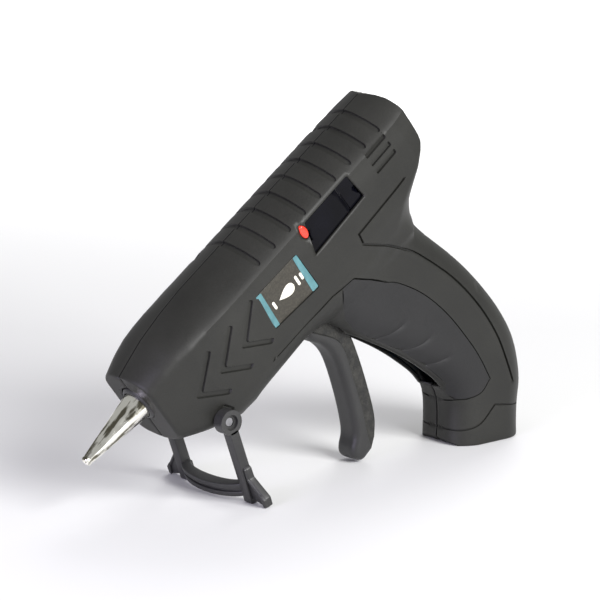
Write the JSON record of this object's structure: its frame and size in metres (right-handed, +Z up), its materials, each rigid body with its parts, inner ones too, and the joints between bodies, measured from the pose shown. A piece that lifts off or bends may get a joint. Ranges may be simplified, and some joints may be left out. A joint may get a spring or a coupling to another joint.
{
  "type": "glue gun",
  "caption": "Cordless hot-melt glue gun with two-part body, metal nozzle, lever trigger, curved grip and folding front stand.",
  "frame": {"origin": "on the standing surface, under the middle of the bounding box, with the gun on its folded-down stand and grip end", "axes": "+Z up, nozzle towards -X and down, left side with the power button towards -Y"},
  "size_m": [0.2296, 0.066, 0.158],
  "materials": {
    "housing_plastic": "satin moulded ABS, fine grain",
    "black_plastic": "satin moulded nylon",
    "soft_rubber": "matt soft-touch overmould",
    "nozzle_metal": "polished, lightly drawn",
    "steel": "plain",
    "aluminium": "die cast",
    "silicone": "matt",
    "ceramic": "unglazed",
    "smoked_window": "polished, smoked",
    "badge_plate": "satin print with two teal bars",
    "button_red": "translucent red, lit",
    "cream_plastic": "heat-resistant nylon",
    "circuit": "solder mask",
    "cell_sleeve": "shrink sleeve over a metal can",
    "wire_red": "insulation",
    "wire_black": "insulation"
  },
  "bodies": {
    "body": {"left_housing": "housing_plastic", "right_housing": "housing_plastic", "left_grip_pad": "soft_rubber", "right_grip_pad": "soft_rubber", "left_window": "smoked_window", "right_window": "smoked_window", "left_badge": "badge_plate", "right_badge": "badge_plate", "housing_screw_1": "steel", "housing_screw_2": "steel", "housing_screw_3": "steel", "housing_screw_4": "steel", "housing_screw_5": "steel", "housing_screw_6": "steel", "nozzle": "nozzle_metal", "nozzle_collar": "black_plastic", "valve_spring": "steel", "melt_chamber": "aluminium", "heater_cartridge": "ceramic", "heater_clip": "steel", "inlet_sleeve": "silicone", "sleeve_clamp": "steel", "stick_guide": "black_plastic", "carriage_spring": "steel", "trigger_pin": "steel", "stand_pin": "steel", "power_switch": "black_plastic", "circuit_board": "circuit", "battery_cell": "cell_sleeve", "cell_contact_top": "steel", "cell_contact_base": "steel", "charge_socket": "steel", "heater_wire_live": "wire_red", "heater_wire_return": "wire_black", "cell_wire_positive": "wire_red", "cell_wire_negative": "wire_black"},
    "trigger": {"trigger": "black_plastic"},
    "carriage": {"feed_carriage": "cream_plastic", "gripper_pin": "steel"},
    "gripper": {"stick_gripper": "steel"},
    "stand": {"stand": "black_plastic"},
    "button": {"power_button": "button_red"},
    "valve": {"valve_ball": "steel"}
  },
  "joints": [
    {"name": "trigger_squeeze", "type": "hinge", "parent": "body", "child": "trigger", "pos_m": [-0.00546, 0, 0.07243], "axis": [0, -1, 0], "range_deg": [0, 20], "stiffness_Nm_per_rad": 0.8, "springref_deg": -8.59},
    {"name": "carriage_feed", "type": "slide", "parent": "body", "child": "carriage", "axis": [-0.7976, 0, -0.6032], "range_m": [0, 0.0071], "deforming": ["carriage_spring"]},
    {"name": "gripper_bite", "type": "hinge", "parent": "carriage", "child": "gripper", "pos_m": [-0.00954, 0, 0.08777], "axis": [0, 1, 0], "range_deg": [0, 7]},
    {"name": "stand_fold", "type": "hinge", "parent": "body", "child": "stand", "pos_m": [-0.05907, 0, 0.03589], "axis": [0, 1, 0], "range_deg": [0, 60]},
    {"name": "power_press", "type": "slide", "parent": "body", "child": "button", "axis": [0, 1, 0], "range_m": [0, 0.001], "stiffness_N_per_m": 600, "springref_m": -0.0008},
    {"name": "valve_lift", "type": "slide", "parent": "body", "child": "valve", "axis": [-0.7976, 0, -0.6032], "range_m": [0, 0.001], "stiffness_N_per_m": 200, "springref_m": -0.0005, "deforming": ["valve_spring"]}
  ],
  "couplings": [
    {"joint": "carriage_feed", "follows": "trigger_squeeze", "m_per_rad": 0.0195},
    {"joint": "gripper_bite", "follows": "trigger_squeeze", "ratio": 0.3}
  ]
}
